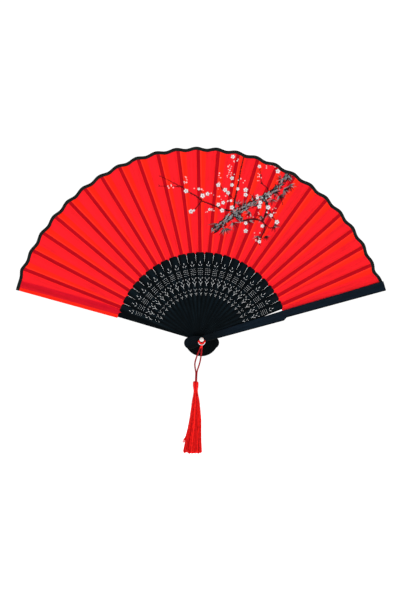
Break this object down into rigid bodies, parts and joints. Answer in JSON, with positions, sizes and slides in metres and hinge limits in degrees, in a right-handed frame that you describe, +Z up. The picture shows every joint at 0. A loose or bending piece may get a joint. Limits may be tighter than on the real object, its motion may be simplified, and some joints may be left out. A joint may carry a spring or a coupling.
{
  "type": "folding hand fan",
  "caption": "Pleated red cloth folding fan on dark pierced wooden sticks between its guards, joined by a rivet with a ring and a red tassel.",
  "frame": {"origin": "on the rivet's axis, half way through the stack of sticks, where the hand holds the fan", "axes": "+X to the fan's right, +Z up with the fan open above the rivet, and the painted front faces -Y, so +Y is the way the rear guard's outer face points"},
  "size_m": [0.3792, 0.0287, 0.3137],
  "materials": {
    "lacquered_wood": "satin black lacquer with a blue-green cast",
    "leaf_cloth": "satin weave",
    "polished_steel": "polished",
    "pearl": "pearly gloss",
    "tassel_thread": "rayon thread"
  },
  "bodies": {
    "rear_frame": {"guard_rear": "lacquered_wood", "leaf_panel_00": "leaf_cloth", "rivet_pin": "polished_steel", "rivet_pearl": "pearl", "washer_front": "polished_steel"},
    "front_frame": {"guard_front": "lacquered_wood", "leaf_panel_24": "leaf_cloth"},
    "fold_01": {"stick_01": "lacquered_wood", "leaf_panel_01": "leaf_cloth"},
    "fold_02": {"stick_02": "lacquered_wood", "leaf_panel_02": "leaf_cloth"},
    "fold_03": {"stick_03": "lacquered_wood", "leaf_panel_03": "leaf_cloth"},
    "fold_04": {"stick_04": "lacquered_wood", "leaf_panel_04": "leaf_cloth"},
    "fold_05": {"stick_05": "lacquered_wood", "leaf_panel_05": "leaf_cloth"},
    "fold_06": {"stick_06": "lacquered_wood", "leaf_panel_06": "leaf_cloth"},
    "fold_07": {"stick_07": "lacquered_wood", "leaf_panel_07": "leaf_cloth"},
    "fold_08": {"stick_08": "lacquered_wood", "leaf_panel_08": "leaf_cloth"},
    "fold_09": {"stick_09": "lacquered_wood", "leaf_panel_09": "leaf_cloth"},
    "fold_10": {"stick_10": "lacquered_wood", "leaf_panel_10": "leaf_cloth"},
    "fold_11": {"stick_11": "lacquered_wood", "leaf_panel_11": "leaf_cloth"},
    "fold_12": {"stick_12": "lacquered_wood", "leaf_panel_12": "leaf_cloth"},
    "fold_13": {"stick_13": "lacquered_wood", "leaf_panel_13": "leaf_cloth"},
    "fold_14": {"stick_14": "lacquered_wood", "leaf_panel_14": "leaf_cloth"},
    "fold_15": {"stick_15": "lacquered_wood", "leaf_panel_15": "leaf_cloth"},
    "fold_16": {"stick_16": "lacquered_wood", "leaf_panel_16": "leaf_cloth"},
    "fold_17": {"stick_17": "lacquered_wood", "leaf_panel_17": "leaf_cloth"},
    "fold_18": {"stick_18": "lacquered_wood", "leaf_panel_18": "leaf_cloth"},
    "fold_19": {"stick_19": "lacquered_wood", "leaf_panel_19": "leaf_cloth"},
    "fold_20": {"stick_20": "lacquered_wood", "leaf_panel_20": "leaf_cloth"},
    "fold_21": {"stick_21": "lacquered_wood", "leaf_panel_21": "leaf_cloth"},
    "fold_22": {"stick_22": "lacquered_wood", "leaf_panel_22": "leaf_cloth"},
    "fold_23": {"stick_23": "lacquered_wood", "leaf_panel_23": "leaf_cloth"},
    "ring": {"tassel_ring": "polished_steel"},
    "hitch": {"cord_hitch": "tassel_thread"},
    "tassel": {"tassel_cord_left": "tassel_thread", "tassel_cord_right": "tassel_thread", "tassel_cap": "tassel_thread", "tassel_binding": "tassel_thread", "tassel_skirt": "tassel_thread"}
  },
  "joints": [
    {"name": "fan_fold", "type": "hinge", "parent": "rear_frame", "child": "front_frame", "pos_m": [0, 0, 0], "axis": [0, -1, 0], "range_deg": [0, 147]},
    {"name": "stick_01_turn", "type": "hinge", "parent": "rear_frame", "child": "fold_01", "pos_m": [0, 0, 0], "axis": [0, -1, 0], "range_deg": [0, 6.13]},
    {"name": "stick_02_turn", "type": "hinge", "parent": "rear_frame", "child": "fold_02", "pos_m": [0, 0, 0], "axis": [0, -1, 0], "range_deg": [0, 12.26]},
    {"name": "stick_03_turn", "type": "hinge", "parent": "rear_frame", "child": "fold_03", "pos_m": [0, 0, 0], "axis": [0, -1, 0], "range_deg": [0, 18.39]},
    {"name": "stick_04_turn", "type": "hinge", "parent": "rear_frame", "child": "fold_04", "pos_m": [0, 0, 0], "axis": [0, -1, 0], "range_deg": [0, 24.51]},
    {"name": "stick_05_turn", "type": "hinge", "parent": "rear_frame", "child": "fold_05", "pos_m": [0, 0, 0], "axis": [0, -1, 0], "range_deg": [0, 30.64]},
    {"name": "stick_06_turn", "type": "hinge", "parent": "rear_frame", "child": "fold_06", "pos_m": [0, 0, 0], "axis": [0, -1, 0], "range_deg": [0, 36.76]},
    {"name": "stick_07_turn", "type": "hinge", "parent": "rear_frame", "child": "fold_07", "pos_m": [0, 0, 0], "axis": [0, -1, 0], "range_deg": [0, 42.88]},
    {"name": "stick_08_turn", "type": "hinge", "parent": "rear_frame", "child": "fold_08", "pos_m": [0, 0, 0], "axis": [0, -1, 0], "range_deg": [0, 49.01]},
    {"name": "stick_09_turn", "type": "hinge", "parent": "rear_frame", "child": "fold_09", "pos_m": [0, 0, 0], "axis": [0, -1, 0], "range_deg": [0, 55.13]},
    {"name": "stick_10_turn", "type": "hinge", "parent": "rear_frame", "child": "fold_10", "pos_m": [0, 0, 0], "axis": [0, -1, 0], "range_deg": [0, 61.26]},
    {"name": "stick_11_turn", "type": "hinge", "parent": "rear_frame", "child": "fold_11", "pos_m": [0, 0, 0], "axis": [0, -1, 0], "range_deg": [0, 67.39]},
    {"name": "stick_12_turn", "type": "hinge", "parent": "rear_frame", "child": "fold_12", "pos_m": [0, 0, 0], "axis": [0, -1, 0], "range_deg": [0, 73.51]},
    {"name": "stick_13_turn", "type": "hinge", "parent": "rear_frame", "child": "fold_13", "pos_m": [0, 0, 0], "axis": [0, -1, 0], "range_deg": [0, 79.64]},
    {"name": "stick_14_turn", "type": "hinge", "parent": "rear_frame", "child": "fold_14", "pos_m": [0, 0, 0], "axis": [0, -1, 0], "range_deg": [0, 85.76]},
    {"name": "stick_15_turn", "type": "hinge", "parent": "rear_frame", "child": "fold_15", "pos_m": [0, 0, 0], "axis": [0, -1, 0], "range_deg": [0, 91.89]},
    {"name": "stick_16_turn", "type": "hinge", "parent": "rear_frame", "child": "fold_16", "pos_m": [0, 0, 0], "axis": [0, -1, 0], "range_deg": [0, 98.01]},
    {"name": "stick_17_turn", "type": "hinge", "parent": "rear_frame", "child": "fold_17", "pos_m": [0, 0, 0], "axis": [0, -1, 0], "range_deg": [0, 104.14]},
    {"name": "stick_18_turn", "type": "hinge", "parent": "rear_frame", "child": "fold_18", "pos_m": [0, 0, 0], "axis": [0, -1, 0], "range_deg": [0, 110.26]},
    {"name": "stick_19_turn", "type": "hinge", "parent": "rear_frame", "child": "fold_19", "pos_m": [0, 0, 0], "axis": [0, -1, 0], "range_deg": [0, 116.39]},
    {"name": "stick_20_turn", "type": "hinge", "parent": "rear_frame", "child": "fold_20", "pos_m": [0, 0, 0], "axis": [0, -1, 0], "range_deg": [0, 122.51]},
    {"name": "stick_21_turn", "type": "hinge", "parent": "rear_frame", "child": "fold_21", "pos_m": [0, 0, 0], "axis": [0, -1, 0], "range_deg": [0, 128.63]},
    {"name": "stick_22_turn", "type": "hinge", "parent": "rear_frame", "child": "fold_22", "pos_m": [0, 0, 0], "axis": [0, -1, 0], "range_deg": [0, 134.76]},
    {"name": "stick_23_turn", "type": "hinge", "parent": "rear_frame", "child": "fold_23", "pos_m": [0, 0, 0], "axis": [0, -1, 0], "range_deg": [0, 140.88]},
    {"name": "ring_swing", "type": "hinge", "parent": "rear_frame", "child": "ring", "pos_m": [0, -0.01249, 0], "axis": [0, -1, 0], "range_deg": [-60, 60]},
    {"name": "tassel_lift", "type": "hinge", "parent": "ring", "child": "hitch", "pos_m": [0, -0.01249, -0.00545], "axis": [-1, 0, 0], "range_deg": [0, 75]},
    {"name": "tassel_swing", "type": "hinge", "parent": "hitch", "child": "tassel", "pos_m": [0, -0.01249, -0.00545], "axis": [0, -1, 0], "range_deg": [-30, 30]}
  ],
  "couplings": [
    {"joint": "stick_01_turn", "follows": "fan_fold", "ratio": 0.041667},
    {"joint": "stick_02_turn", "follows": "fan_fold", "ratio": 0.083333},
    {"joint": "stick_03_turn", "follows": "fan_fold", "ratio": 0.125},
    {"joint": "stick_04_turn", "follows": "fan_fold", "ratio": 0.16667},
    {"joint": "stick_05_turn", "follows": "fan_fold", "ratio": 0.20833},
    {"joint": "stick_06_turn", "follows": "fan_fold", "ratio": 0.25},
    {"joint": "stick_07_turn", "follows": "fan_fold", "ratio": 0.29167},
    {"joint": "stick_08_turn", "follows": "fan_fold", "ratio": 0.33333},
    {"joint": "stick_09_turn", "follows": "fan_fold", "ratio": 0.375},
    {"joint": "stick_10_turn", "follows": "fan_fold", "ratio": 0.41667},
    {"joint": "stick_11_turn", "follows": "fan_fold", "ratio": 0.45833},
    {"joint": "stick_12_turn", "follows": "fan_fold", "ratio": 0.5},
    {"joint": "stick_13_turn", "follows": "fan_fold", "ratio": 0.54167},
    {"joint": "stick_14_turn", "follows": "fan_fold", "ratio": 0.58333},
    {"joint": "stick_15_turn", "follows": "fan_fold", "ratio": 0.625},
    {"joint": "stick_16_turn", "follows": "fan_fold", "ratio": 0.66667},
    {"joint": "stick_17_turn", "follows": "fan_fold", "ratio": 0.70833},
    {"joint": "stick_18_turn", "follows": "fan_fold", "ratio": 0.75},
    {"joint": "stick_19_turn", "follows": "fan_fold", "ratio": 0.79167},
    {"joint": "stick_20_turn", "follows": "fan_fold", "ratio": 0.83333},
    {"joint": "stick_21_turn", "follows": "fan_fold", "ratio": 0.875},
    {"joint": "stick_22_turn", "follows": "fan_fold", "ratio": 0.91667},
    {"joint": "stick_23_turn", "follows": "fan_fold", "ratio": 0.95833}
  ]
}
